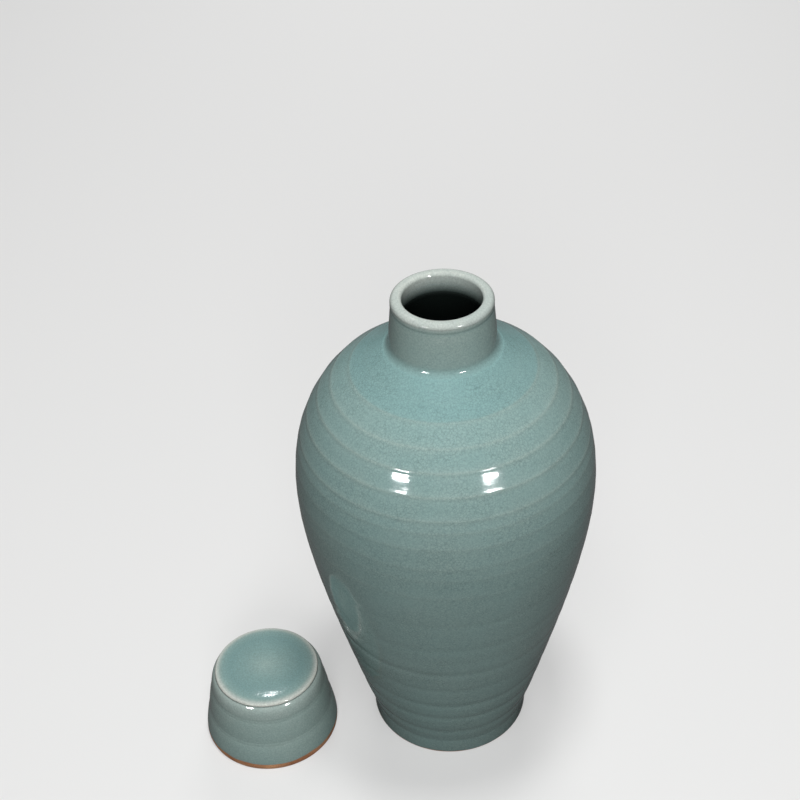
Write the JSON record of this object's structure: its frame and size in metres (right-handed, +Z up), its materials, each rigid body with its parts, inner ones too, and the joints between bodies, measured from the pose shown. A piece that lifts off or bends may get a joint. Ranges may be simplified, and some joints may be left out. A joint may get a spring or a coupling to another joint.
{
  "type": "covered meiping vase",
  "caption": "Tall meiping vase of crackled celadon stoneware, high round shoulder on a narrow foot, ringed by the throwing, with a short neck and a lift-off cap standing beside it.",
  "frame": {"origin": "centre of the vase's foot ring, on the plane that the vase stands on", "axes": "+Z up along the vase's axis to the mouth; the pictured front faces -Y; the cap stands to the left of the vase, towards -X and a little towards -Y"},
  "size_m": [0.2323, 0.165, 0.3],
  "materials": {
    "body_glaze": "gloss",
    "neck_glaze": "gloss",
    "cap_glaze": "gloss"
  },
  "bodies": {
    "vase": {"lower_body": "body_glaze", "upper_body": "body_glaze", "neck": "neck_glaze"},
    "cap": {"cap": "cap_glaze"}
  },
  "joints": [
    {"name": "cap_lift", "type": "slide", "parent": "vase", "child": "cap", "axis": [-0.6982, -0.1119, 0.7071], "range_m": [0, 0.2]}
  ]
}
